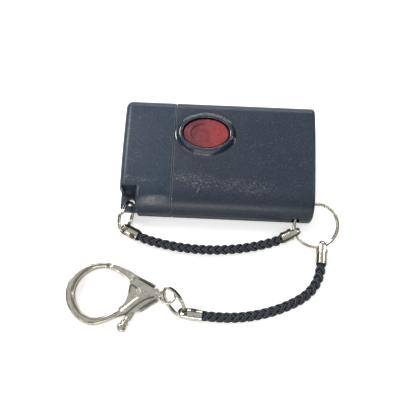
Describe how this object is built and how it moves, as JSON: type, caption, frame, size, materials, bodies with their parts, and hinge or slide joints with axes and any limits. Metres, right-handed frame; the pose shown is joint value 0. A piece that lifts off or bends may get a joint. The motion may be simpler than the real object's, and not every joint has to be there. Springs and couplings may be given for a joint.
{
  "type": "alarm remote control",
  "caption": "Pocket alarm remote with a guarded red button, a screwed end cap, split rings, braided lanyard cords and a trigger clasp.",
  "frame": {"origin": "centre of the housing's box, on the surface it lies on", "axes": "+X along the housing towards the ring corner, +Y across it away from the lanyard, +Z out of the button's face"},
  "size_m": [0.0933, 0.0809, 0.0168],
  "materials": {
    "housing": "moulded, faintly glossy, dark slate blue",
    "cap": "moulded, faintly glossy, a shade lighter",
    "button": "glossy deep red",
    "switch": "black",
    "board": "green laminate",
    "chip": "black, dull",
    "tinned": "tinned, satin",
    "contact": "plain, satin",
    "cell": "wrapped can",
    "screws": "zinc plated",
    "nickel": "polished nickel, lightly worn",
    "spring_wire": "bare wire",
    "cord": "round braid, blue black"
  },
  "bodies": {
    "housing": {"front_shell": "housing", "rear_shell": "housing", "end_cap": "cap", "tact_switch": "switch", "circuit_board": "board", "controller_chip": "chip", "radio_shield": "tinned", "crystal_can": "tinned", "antenna_strip": "contact", "battery_cell": "cell", "spring_contact": "contact", "cap_contact": "contact", "housing_screws": "screws", "cap_screw": "screws", "body_ring": "nickel", "cap_ring": "nickel", "strap_ferrule_cap": "nickel", "strap_ferrule_ring": "nickel", "tether_ferrule_ring": "nickel", "tether_ferrule_link": "nickel", "strap_cord": "cord", "tether_cord": "cord", "oval_link": "nickel", "swivel_eye": "nickel"},
    "button": {"button_cap": "button", "switch_plunger": "switch"},
    "clasp": {"clasp_body": "nickel", "gate_pin": "nickel", "gate_spring": "spring_wire"},
    "gate": {"clasp_gate": "nickel"}
  },
  "joints": [
    {"name": "button_press", "type": "slide", "parent": "housing", "child": "button", "axis": [0, 0, -1], "range_m": [0, 0.0005], "stiffness_N_per_m": 2000},
    {"name": "clasp_swivel", "type": "hinge", "parent": "housing", "child": "clasp", "pos_m": [-0.0153, -0.0475, 0.0023], "axis": [-1, 0, 0], "continuous": true},
    {"name": "gate_swing", "type": "hinge", "parent": "clasp", "child": "gate", "pos_m": [-0.0239, -0.0477, 0.0023], "axis": [0, 0, 1], "range_deg": [0, 25], "stiffness_Nm_per_rad": 0.03, "springref_deg": -22.92}
  ]
}
